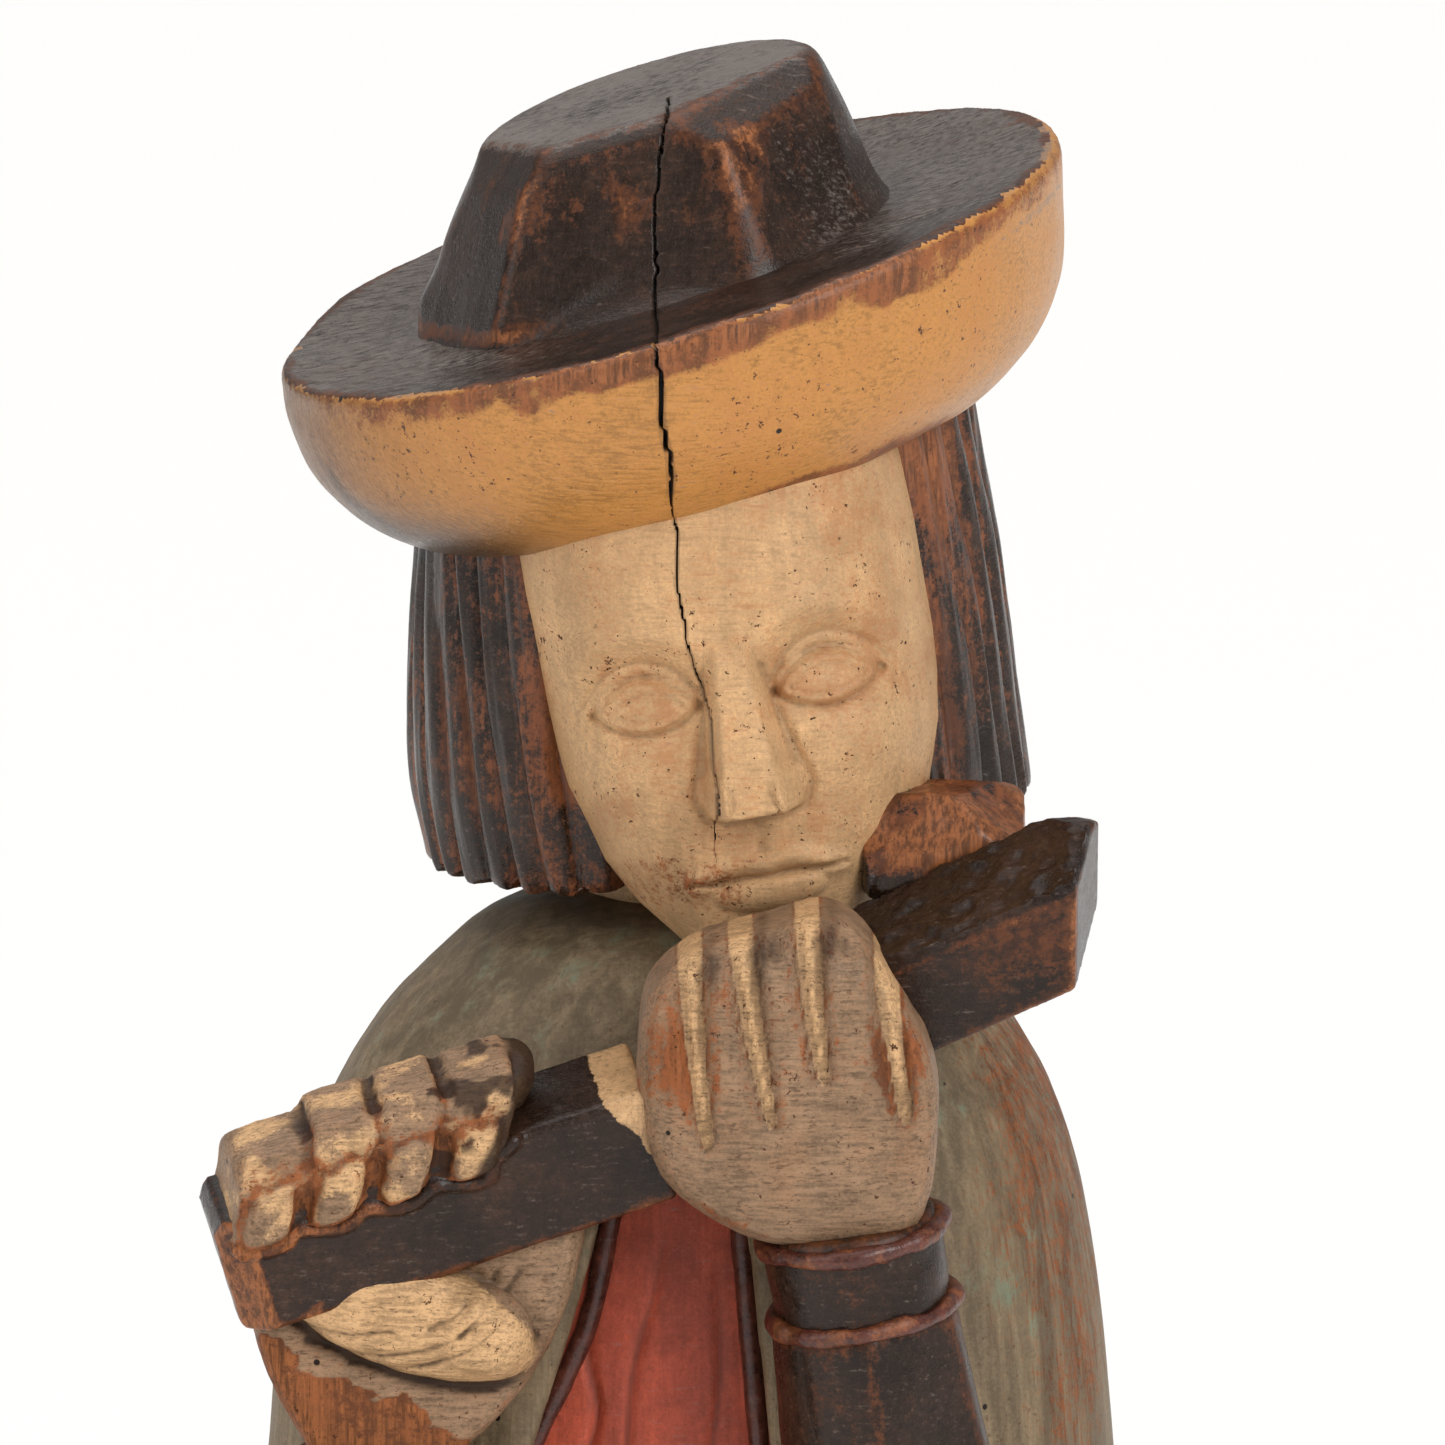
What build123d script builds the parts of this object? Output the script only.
from build123d import *
import os
from math import cos, radians, sin, sqrt

# Carved and painted wooden figure of a flute player, standing on its own plinth.
# Millimetres. +Z is up, the figure faces -Y, and its own left side is towards +X.
# The origin is the centre of the plinth's underside.
# The trunk (hat, head, hair, cloak, vest, legs, plinth) is one log: its painted zones are solids
# that meet face to face. The hands and the two flute lengths are carved apart and pegged on.

os.makedirs("parts", exist_ok=True)

# ---------------------------------------------------------------- driving dimensions
PLINTH_HEIGHT = 34
PLINTH_HALF_WIDTH = 108
PLINTH_HALF_DEPTH = 100

BOOT_TOP = 118
STANCE = 35  # half the distance between the ankles
ANKLE_Y = -22
HEM_HEIGHT = 262  # lower edge of the tunic skirt
BELT_BOTTOM = 345
BELT_TOP = 363
VEST_TOP = 556
CLOAK_BOTTOM = 100
NICHE_BACK = 4  # the cloak is solid log behind this depth, below the tunic

HEAD_CENTRE = (12, 0, 620)
HEAD_TILT = 10  # degrees, crown leaning towards the figure's right
HAT_CENTRE = (-5, 0, 719)
HAT_TILT = 17
HAT_BOW = 4.5  # degrees forward
BRIM_RADIUS = 93
BRIM_DEPTH = 48  # from the brim's top face down to the hair
CROWN_HEIGHT = 37
HAIR_BOTTOM = -33  # along the head's own axis
HAIR_FRONT = -45

FLUTE_SIDE = 28  # the flute is a square bar with planed corners
FLUTE_CHAMFER = 3
NEAR_SEAM = Vector(-11.5, -90, 534)  # where the near length meets the left hand
NEAR_END = Vector(-105, -100, 505)
FAR_START = Vector(42, -74, 563)
FAR_END = Vector(85.5, -79, 583.5)
NEAR_ROLL = -15  # degrees each length is turned about its own axis
FAR_ROLL = 28
FAR_SPARE = 14  # what the far length has over its axis, before its end is sawn off upright
FAR_CUT = Plane(origin=(86.5, -86, 564), z_dir=(0.98, -0.18, -0.08))

DOWEL_RADIUS = 4
WRIST_DOWEL_RADIUS = 5
WRIST_DOWEL_LENGTH = 44
CUFF_LENGTH = 23
CUFF_RADIUS = 20
RING_RADIUS = 2.3

# Arms: wrist is where the hand leaves the cuff, elbow is the low end of the forearm.
ARMS = {
    "left": {"wrist": Vector(36.2, -92.5, 512.5), "elbow": Vector(54, -80, 392)},
    "right": {"wrist": Vector(-69, -88, 456), "elbow": Vector(-76, -74, 352)},
}
ELBOW_RADIUS = 26.5

# Horizontal ovals of the trunk: height, half width, half depth, centre in Y.
VEST_OVALS = [
    (BELT_TOP, 72, 63, 0),
    (440, 78, 66, 0),
    (500, 74, 62, 0),
    (535, 60, 54, 0),
    (VEST_TOP, 36, 38, 2),
]
SKIRT_OVALS = [(HEM_HEIGHT, 86, 70, 0), (BELT_BOTTOM, 72, 63, 0)]
CLOAK_OVALS = [
    (CLOAK_BOTTOM, 101, 88, 4),
    (250, 102, 88, 2),
    (380, 101, 85, 0),
    (440, 99, 82, 0),
    (500, 93, 77, 0),
    (535, 79, 69, 2),
    (560, 54, 54, 4),
    (568, 40, 42, 6),
]
# The cloak's front opening: half of its outline on each side of the vest, as (X, Z).
OPENING_RIGHT = [(-14, 536), (-22, 500), (-40, 441), (-57, 330), (-64, 250), (-66, 90)]
OPENING_LEFT = [(64, 90), (60, 250), (52, 330), (20, 441), (14, 500), (8, 536)]

# Frames of the two tilted parts.
head_frame = Plane(
    origin=HEAD_CENTRE,
    x_dir=(cos(radians(HEAD_TILT)), 0, sin(radians(HEAD_TILT))),
    z_dir=(-sin(radians(HEAD_TILT)), 0, cos(radians(HEAD_TILT))),
)
hat_frame = Plane(
    origin=HAT_CENTRE,
    x_dir=(cos(radians(HAT_TILT)), 0, sin(radians(HAT_TILT))),
    z_dir=(-sin(radians(HAT_TILT)), -sin(radians(HAT_BOW)), cos(radians(HAT_TILT))),
)
hat_section = Plane(origin=hat_frame.origin, x_dir=hat_frame.x_dir, z_dir=-hat_frame.y_dir)
hat_underside = hat_frame.offset(-BRIM_DEPTH)
facing = Plane.XZ  # sketches on it are seen from the front, and extrude towards the viewer


def oval_at(sections, height):
    """Half width, half depth and centre of a column of ovals at one height."""
    for low, high in zip(sections, sections[1:]):
        if low[0] <= height <= high[0]:
            share = (height - low[0]) / (high[0] - low[0])
            return [a + (b - a) * share for a, b in zip(low[1:], high[1:])]
    raise ValueError(f"no oval at height {height}")


def front_of(sections, x, height):
    """The front surface's Y of a column of ovals, at one X and height."""
    half_width, half_depth, centre = oval_at(sections, height)
    return centre - half_depth * sqrt(max(0.0, 1 - (x / half_width) ** 2))


# ---------------------------------------------------------------- plinth and legs
with BuildPart() as plinth:
    with BuildSketch():
        Ellipse(PLINTH_HALF_WIDTH, PLINTH_HALF_DEPTH)
    extrude(amount=PLINTH_HEIGHT)
    chamfer(plinth.edges().group_by(Axis.Z)[-1], 3)
plinth.part.label = "plinth"
export_step(plinth.part, "parts/plinth.step")

BOOT_LENGTH = 88
BOOT_WIDTH = 42
BOOT_ARCH = 28
lower_limbs = []
for side, name in ((1, "left"), (-1, "right")):
    with BuildPart() as boot:
        with BuildSketch(Plane.XY.offset(PLINTH_HEIGHT)):
            with Locations((side * (STANCE + 2), ANKLE_Y + 22 - BOOT_LENGTH / 2)):
                Ellipse(BOOT_WIDTH / 2, BOOT_LENGTH / 2)
        extrude(amount=BOOT_ARCH)
        fillet(boot.edges().group_by(Axis.Z)[-1], 8)
        with BuildSketch(Plane.XY.offset(PLINTH_HEIGHT)):
            with Locations((side * STANCE, ANKLE_Y)):
                Ellipse(19, 21)
        with BuildSketch(Plane.XY.offset(BOOT_TOP)):
            with Locations((side * STANCE, ANKLE_Y)):
                Ellipse(25, 27)
        loft()
    boot.part.label = f"{name}_boot"
    export_step(boot.part, f"parts/{name}_boot.step")

    with BuildPart() as leg:
        with BuildSketch(Plane.XY.offset(BOOT_TOP)):
            with Locations((side * STANCE, ANKLE_Y)):
                Ellipse(22, 24)
        with BuildSketch(Plane.XY.offset(HEM_HEIGHT)):
            with Locations((side * STANCE, ANKLE_Y + 4)):
                Ellipse(31, 34)
        loft()
    leg.part.label = f"{name}_leg"
    export_step(leg.part, f"parts/{name}_leg.step")
    lower_limbs += [boot.part, leg.part]

# ---------------------------------------------------------------- tunic skirt, belt and vest
with BuildPart() as tunic_skirt:
    for height, half_width, half_depth, centre in SKIRT_OVALS:
        with BuildSketch(Plane.XY.offset(height)):
            with Locations((0, centre)):
                Ellipse(half_width, half_depth)
    loft()
tunic_skirt.part.label = "tunic_skirt"
export_step(tunic_skirt.part, "parts/tunic_skirt.step")

with BuildPart() as belt:
    with BuildSketch(Plane.XY.offset(BELT_BOTTOM)):
        Ellipse(75, 66)
    extrude(amount=BELT_TOP - BELT_BOTTOM)
    fillet(belt.edges().group_by(Axis.Z)[0] + belt.edges().group_by(Axis.Z)[-1], 2)
belt.part.label = "belt"
export_step(belt.part, "parts/belt.step")


# ---------------------------------------------------------------- flute, in two lengths
def bar_plane(start, end, roll):
    """The flute's section plane at start, its Y up and its Z along the bar, rolled to the front."""
    along = (end - start).normalized()
    level = Vector(0, 0, 1).cross(along).normalized()
    return Plane(origin=start, x_dir=level, z_dir=along).rotated((0, 0, roll))


near_plane = bar_plane(NEAR_SEAM, NEAR_END, NEAR_ROLL)
far_plane = bar_plane(FAR_START, FAR_END, FAR_ROLL)
near_length = (NEAR_END - NEAR_SEAM).length
far_length = (FAR_END - FAR_START).length + FAR_SPARE

near_peg_plane = near_plane.offset(-18)
far_peg_plane = far_plane.offset(-14)
with BuildPart() as flute_near_dowel:
    with BuildSketch(near_peg_plane):
        Circle(DOWEL_RADIUS)
    extrude(amount=36)
flute_near_dowel.part.label = "flute_near_dowel"
export_step(flute_near_dowel.part, "parts/flute_near_dowel.step")

with BuildPart() as flute_far_dowel:
    with BuildSketch(far_peg_plane):
        Circle(DOWEL_RADIUS)
    extrude(amount=34)
flute_far_dowel.part.label = "flute_far_dowel"
export_step(flute_far_dowel.part, "parts/flute_far_dowel.step")

with BuildPart() as flute_near:
    with BuildSketch(near_plane):
        RectangleRounded(FLUTE_SIDE, FLUTE_SIDE, FLUTE_CHAMFER)
    extrude(amount=near_length)
    chamfer(flute_near.faces().sort_by(Axis.X)[0].edges(), 2.5)
    add(flute_near_dowel.part, mode=Mode.SUBTRACT)
flute_near.part.label = "flute_near"
export_step(flute_near.part, "parts/flute_near.step")

# ---------------------------------------------------------------- head, hair and hat
HEAD_OVALS = [
    (-57, 10, 11, -46),
    (-46, 25, 28, -34),
    (-28, 40, 50, -20),
    (0, 47, 62, -10),
    (30, 48, 64, -8),
    (70, 48, 64, -8),
]
# The hair's ovals have one more number, their centre across the head: the bob swings to its right.
HAIR_OVALS = [(HAIR_BOTTOM, 71, 64, 8, -9), (10, 70, 66, 8, -6.5), (45, 66, 66, 7, -2.3), (80, 64, 66, 6, 1)]

with BuildPart() as head:
    for height, half_width, half_depth, centre in HEAD_OVALS:
        with BuildSketch(head_frame.offset(height)):
            with Locations((0, centre)):
                Ellipse(half_width, half_depth)
    loft()
    split(bisect_by=hat_underside, keep=Keep.BOTTOM)
head.part.label = "head"
export_step(head.part, "parts/head.step")

with BuildPart() as hair:
    for height, half_width, half_depth, centre, side_centre in HAIR_OVALS:
        with BuildSketch(head_frame.offset(height)):
            with Locations((side_centre, centre)):
                Ellipse(half_width, half_depth)
    loft()
    split(bisect_by=hat_underside, keep=Keep.BOTTOM)
    split(bisect_by=Plane.XZ.offset(-HAIR_FRONT), keep=Keep.BOTTOM)
    add(head.part, mode=Mode.SUBTRACT)

LOCK_BACK = 12  # the side locks end and the back hair begins at this depth
with BuildPart() as hair_back:
    add(hair.part)
    split(bisect_by=Plane.XZ.offset(-LOCK_BACK), keep=Keep.BOTTOM)
hair_back.part.label = "hair_back"
export_step(hair_back.part, "parts/hair_back.step")

NECK_TOP = 600
with BuildPart() as neck_column:
    with BuildSketch(Plane.XY.offset(VEST_TOP)):
        with Locations((4, 8)):
            Ellipse(30, 30)
    extrude(amount=NECK_TOP - VEST_TOP)
    add(head.part, mode=Mode.SUBTRACT)
    add(hair.part, mode=Mode.SUBTRACT)
with BuildPart() as neck:
    add(neck_column.solids().sort_by(Axis.Z)[0])
neck.part.label = "neck"
export_step(neck.part, "parts/neck.step")

CROWN_FOOT = -1.5
with BuildPart() as hat_brim:
    with BuildSketch(hat_section):
        with BuildLine():
            Polyline((0, CROWN_FOOT), (56, CROWN_FOOT), (BRIM_RADIUS - 2, 0.5))
            RadiusArc((BRIM_RADIUS - 2, 0.5), (BRIM_RADIUS, -3), 2.4)
            ThreePointArc((BRIM_RADIUS, -3), (88, -28), (66, -BRIM_DEPTH))
            Polyline((66, -BRIM_DEPTH), (0, -BRIM_DEPTH), (0, CROWN_FOOT))
        make_face()
    revolve(axis=Axis(hat_frame.origin, hat_frame.z_dir))
hat_brim.part.label = "hat_brim"
export_step(hat_brim.part, "parts/hat_brim.step")

CROWN_FOOT_CENTRE = -4
CROWN_TOP_CENTRE = 5  # the crown's right side flares far more than its left
with BuildPart() as hat_crown:
    with BuildSketch(hat_frame.offset(CROWN_FOOT)):
        with Locations((CROWN_FOOT_CENTRE, 0)):
            Ellipse(56, 52)
    with BuildSketch(hat_frame.offset(CROWN_HEIGHT)):
        with Locations((CROWN_TOP_CENTRE, 0)):
            Ellipse(41.5, 38)
    loft()
    fillet(hat_crown.faces().sort_by(Axis.Z)[-1].edges(), 6)
    add(hat_brim.part, mode=Mode.SUBTRACT)
hat_crown.part.label = "hat_crown"
export_step(hat_crown.part, "parts/hat_crown.step")

# ---------------------------------------------------------------- left hand, flat against the flute
HAND_BACK = 84  # depths in front of the trunk's axis
HAND_FRONT = 112
HAND_OUTLINE = [
    (57, 509), (57, 530), (50, 556), (37, 583), (14, 580), (-6, 568), (-11, 545), (-4, 522), (19, 509),
]
FINGER_GAPS = [((1, 590), (5, 524)), ((13, 590), (19, 530)), ((27, 590), (31, 540))]  # top and foot of each
GAP_HALF_WIDTH = 2.5
GAP_DEPTH = 4
with BuildPart() as left_wrist_dowel:
    left_axis = (ARMS["left"]["wrist"] - ARMS["left"]["elbow"]).normalized()
    with BuildSketch(Plane(origin=ARMS["left"]["wrist"], z_dir=left_axis)):
        Circle(WRIST_DOWEL_RADIUS)
    extrude(amount=WRIST_DOWEL_LENGTH / 2, both=True)
left_wrist_dowel.part.label = "left_wrist_dowel"
export_step(left_wrist_dowel.part, "parts/left_wrist_dowel.step")

with BuildPart() as left_hand:
    with BuildSketch(facing.offset(HAND_BACK)):
        with BuildLine():
            Line(HAND_OUTLINE[-1], HAND_OUTLINE[0])
            Spline(*HAND_OUTLINE)
        make_face()
    extrude(amount=HAND_FRONT - HAND_BACK)
    fillet(left_hand.edges().group_by(Axis.Y)[0], 6)
    for gap_top, gap_foot in FINGER_GAPS:
        gap_left = (gap_top[0] - GAP_HALF_WIDTH, gap_top[1])
        gap_right = (gap_top[0] + GAP_HALF_WIDTH, gap_top[1])
        with BuildSketch(facing.offset(HAND_FRONT)):
            with BuildLine():
                Polyline(gap_foot, gap_left, gap_right, close=True)
            make_face()
        extrude(amount=-GAP_DEPTH, mode=Mode.SUBTRACT)
    add(left_wrist_dowel.part, mode=Mode.SUBTRACT)
    add(flute_near_dowel.part, mode=Mode.SUBTRACT)
    add(flute_far_dowel.part, mode=Mode.SUBTRACT)
    add(flute_near.part, mode=Mode.SUBTRACT)
    add(head.part, mode=Mode.SUBTRACT)
left_hand.part.label = "left_hand"
export_step(left_hand.part, "parts/left_hand.step")

with BuildPart() as flute_far:
    with BuildSketch(far_plane):
        RectangleRounded(FLUTE_SIDE, FLUTE_SIDE, FLUTE_CHAMFER)
    extrude(amount=far_length)
    split(bisect_by=FAR_CUT, keep=Keep.BOTTOM)
    for neighbour in (flute_far_dowel, left_hand, head, hair):
        add(neighbour.part, mode=Mode.SUBTRACT)
flute_far.part.label = "flute_far"
export_step(flute_far.part, "parts/flute_far.step")

THUMB_RADIUS = 8
with BuildPart() as left_thumb:
    with BuildSketch(Plane(origin=(50, -103, 536), z_dir=(0.12, 0.1, 1))):
        Circle(THUMB_RADIUS)
    extrude(amount=26)
    fillet(left_thumb.edges().sort_by(Axis.Z)[-1], 6)
    for neighbour in (left_hand, flute_far, flute_far_dowel, head, hair):
        add(neighbour.part, mode=Mode.SUBTRACT)
left_thumb_solid = left_thumb.solids().sort_by(SortBy.VOLUME)[-1]
left_thumb_solid.label = "left_thumb"
export_step(left_thumb_solid, "parts/left_thumb.step")

# wood left uncut between the far length of the flute, the hair and the jaw
WEB_CENTRE = (59, -54, 594)
with BuildPart() as flute_web:
    with Locations(WEB_CENTRE):
        Box(36, 30, 22)
    fillet(flute_web.edges(), 4)
    for neighbour in (flute_far, flute_far_dowel, left_hand, head, hair):
        add(neighbour.part, mode=Mode.SUBTRACT)
    add(left_thumb_solid, mode=Mode.SUBTRACT)
flute_web_solid = flute_web.solids().sort_by(SortBy.VOLUME)[-1]
flute_web_solid.label = "flute_web"
export_step(flute_web_solid, "parts/flute_web.step")

# ---------------------------------------------------------------- right hand, over the flute
FINGER_PLACES = (39, 55.5, 71.5, 87.5)  # along the near length, from its seam
FINGER_WIDTH = 13.5
FINGER_RADIUS = 18  # of the arch that each finger makes over the flute's top
FINGER_RISE = 9  # of the arch's centre above the flute's axis
with BuildPart() as right_fingers:
    for place in FINGER_PLACES:
        with BuildSketch(near_plane.offset(place - FINGER_WIDTH / 2)):
            with Locations((0, FINGER_RISE)):
                Circle(FINGER_RADIUS)
            with Locations((0, FINGER_RISE - FINGER_RADIUS)):
                Rectangle(3 * FINGER_RADIUS, 2 * FINGER_RADIUS, mode=Mode.SUBTRACT)
        extrude(amount=FINGER_WIDTH)
    add(flute_near.part, mode=Mode.SUBTRACT)

with BuildPart() as right_wrist_dowel:
    right_axis = (ARMS["right"]["wrist"] - ARMS["right"]["elbow"]).normalized()
    with BuildSketch(Plane(origin=ARMS["right"]["wrist"], z_dir=right_axis)):
        Circle(WRIST_DOWEL_RADIUS)
    extrude(amount=WRIST_DOWEL_LENGTH / 2, both=True)
right_wrist_dowel.part.label = "right_wrist_dowel"
export_step(right_wrist_dowel.part, "parts/right_wrist_dowel.step")

THUMB_LENGTH = 56
thumb_direction = (NEAR_END - NEAR_SEAM).normalized()
thumb_centre = NEAR_SEAM + thumb_direction * 52 + Vector(3, -6, -25)
with BuildPart() as right_thumb:
    with BuildSketch(Plane(origin=thumb_centre, z_dir=thumb_direction)):
        Ellipse(9, 8)
    extrude(amount=THUMB_LENGTH / 2, both=True)
    fillet(right_thumb.edges().sort_by(Axis.X)[0], 6)
    fillet(right_thumb.edges().sort_by(Axis.X)[-1], 6)
    add(flute_near.part, mode=Mode.SUBTRACT)
right_thumb.part.label = "right_thumb"
export_step(right_thumb.part, "parts/right_thumb.step")

PALM_BACK = 56
PALM_FRONT = 104
PALM_OUTLINE = [
    (-54, 456), (-36, 474), (-26, 494), (-24, 516), (-46, 534), (-84, 520), (-98, 486), (-84, 456),
]
with BuildPart() as right_palm:
    with BuildSketch(facing.offset(PALM_BACK)):
        with BuildLine():
            Line(PALM_OUTLINE[-1], PALM_OUTLINE[0])
            Spline(*PALM_OUTLINE)
        make_face()
    extrude(amount=PALM_FRONT - PALM_BACK)
    fillet(right_palm.edges().group_by(Axis.Y)[0], 6)
    for neighbour in (flute_near, right_fingers, right_thumb, right_wrist_dowel):
        add(neighbour.part, mode=Mode.SUBTRACT)
right_palm_solid = right_palm.solids().sort_by(SortBy.VOLUME)[-1]

# ---------------------------------------------------------------- forearms, cuffs and raised rings
forearms = {}
for name, arm in ARMS.items():
    wrist, elbow = arm["wrist"], arm["elbow"]
    direction = (wrist - elbow).normalized()
    cuff_foot = wrist - direction * CUFF_LENGTH
    hand = left_hand.part if name == "left" else right_palm_solid
    peg = left_wrist_dowel.part if name == "left" else right_wrist_dowel.part

    with BuildPart() as cuff:
        with BuildSketch(Plane(origin=cuff_foot, z_dir=direction)):
            Circle(CUFF_RADIUS)
        extrude(amount=CUFF_LENGTH)
        add(peg, mode=Mode.SUBTRACT)
        add(hand, mode=Mode.SUBTRACT)
    forearms[f"{name}_cuff"] = cuff.part

    with BuildPart() as sleeve:
        with BuildSketch(Plane(origin=elbow, z_dir=direction)):
            Circle(ELBOW_RADIUS)
        with BuildSketch(Plane(origin=cuff_foot, z_dir=direction)):
            Circle(CUFF_RADIUS + 1.5)
        loft()
        with Locations(elbow):
            Sphere(ELBOW_RADIUS)
        add(peg, mode=Mode.SUBTRACT)
    forearms[f"{name}_sleeve"] = sleeve.part

    with BuildPart() as cuff_rings:
        with Locations(
            Plane(origin=wrist - direction * RING_RADIUS, z_dir=direction).location,
            Plane(origin=cuff_foot + direction * RING_RADIUS, z_dir=direction).location,
        ):
            Torus(CUFF_RADIUS, RING_RADIUS)
        for neighbour in (cuff.part, sleeve.part, hand, peg):
            add(neighbour, mode=Mode.SUBTRACT)
    forearms[f"{name}_cuff_rings"] = cuff_rings.part

# ---------------------------------------------------------------- vest, cloak and piping
with BuildPart() as vest:
    for height, half_width, half_depth, centre in VEST_OVALS:
        with BuildSketch(Plane.XY.offset(height)):
            with Locations((0, centre)):
                Ellipse(half_width, half_depth)
    loft()
    for name in ("left_sleeve", "right_sleeve", "left_cuff", "right_cuff"):
        add(forearms[name], mode=Mode.SUBTRACT)
    add(head.part, mode=Mode.SUBTRACT)
    add(right_palm_solid, mode=Mode.SUBTRACT)
vest.part.label = "vest"
export_step(vest.part, "parts/vest.step")

with BuildPart() as cloak:
    for height, half_width, half_depth, centre in CLOAK_OVALS:
        with BuildSketch(Plane.XY.offset(height)):
            with Locations((0, centre)):
                Ellipse(half_width, half_depth)
    loft(ruled=True)
    # the front opening, over the vest and skirt
    with BuildSketch(facing.offset(-NICHE_BACK)):
        with BuildLine():
            Polyline(*OPENING_RIGHT, *OPENING_LEFT, close=True)
        make_face()
    extrude(amount=200, mode=Mode.SUBTRACT)
    trunk_zones = [vest, tunic_skirt, belt, neck, head, hair, flute_near, flute_far]
    hand_zones = [right_thumb, right_fingers, left_hand]
    for neighbour in trunk_zones + hand_zones:
        add(neighbour.part, mode=Mode.SUBTRACT)
    for neighbour in [*lower_limbs, *forearms.values(), right_palm_solid, flute_web_solid]:
        add(neighbour, mode=Mode.SUBTRACT)
cloak_solid = cloak.solids().sort_by(SortBy.VOLUME)[-1]
cloak_solid.label = "cloak"
export_step(cloak_solid, "parts/cloak.step")

with BuildPart() as palm_node:
    add(right_palm_solid)
    add(cloak_solid, mode=Mode.SUBTRACT)
palm_solid = palm_node.solids().sort_by(SortBy.VOLUME)[-1]
palm_solid.label = "right_palm"
export_step(palm_solid, "parts/right_palm.step")

with BuildPart() as finger_node:
    add(right_fingers.part)
    add(palm_solid, mode=Mode.SUBTRACT)
    add(cloak_solid, mode=Mode.SUBTRACT)
finger_node.part.label = "right_fingers"
export_step(finger_node.part, "parts/right_fingers.step")

for name, shape in forearms.items():
    shape.label = name
    export_step(shape, f"parts/{name}.step")

PIPING_RADIUS = 2.4
for name, outline, inward in (("right", OPENING_RIGHT[:4], 1), ("left", OPENING_LEFT[2:], -1)):
    on_vest = [
        (x + inward * PIPING_RADIUS, front_of(VEST_OVALS, x, z), z) for x, z in outline if z > BELT_TOP
    ]
    with BuildPart() as piping:
        with BuildLine() as piping_path:
            Spline(*on_vest)
        with BuildSketch(Plane(origin=piping_path.line @ 0, z_dir=piping_path.line % 0)):
            Circle(PIPING_RADIUS)
        sweep()
        for neighbour in (vest.part, belt.part, cloak_solid, *forearms.values(), left_hand.part):
            add(neighbour, mode=Mode.SUBTRACT)
    piping_solid = piping.solids().sort_by(SortBy.VOLUME)[-1]
    piping_solid.label = f"vest_piping_{name}"
    export_step(piping_solid, f"parts/vest_piping_{name}.step")

# ---------------------------------------------------------------- side locks of the hair
for name, keep_side in (("left", 1), ("right", -1)):
    with BuildPart() as lock:
        add(hair.part)
        split(bisect_by=Plane.XZ.offset(-LOCK_BACK), keep=Keep.TOP)
    sided = [s for s in lock.solids() if keep_side * (s.center().X - HEAD_CENTRE[0]) > 0]
    lock_solid = sorted(sided, key=lambda s: s.volume)[-1]
    lock_solid.label = f"hair_lock_{name}"
    export_step(lock_solid, f"parts/hair_lock_{name}.step")
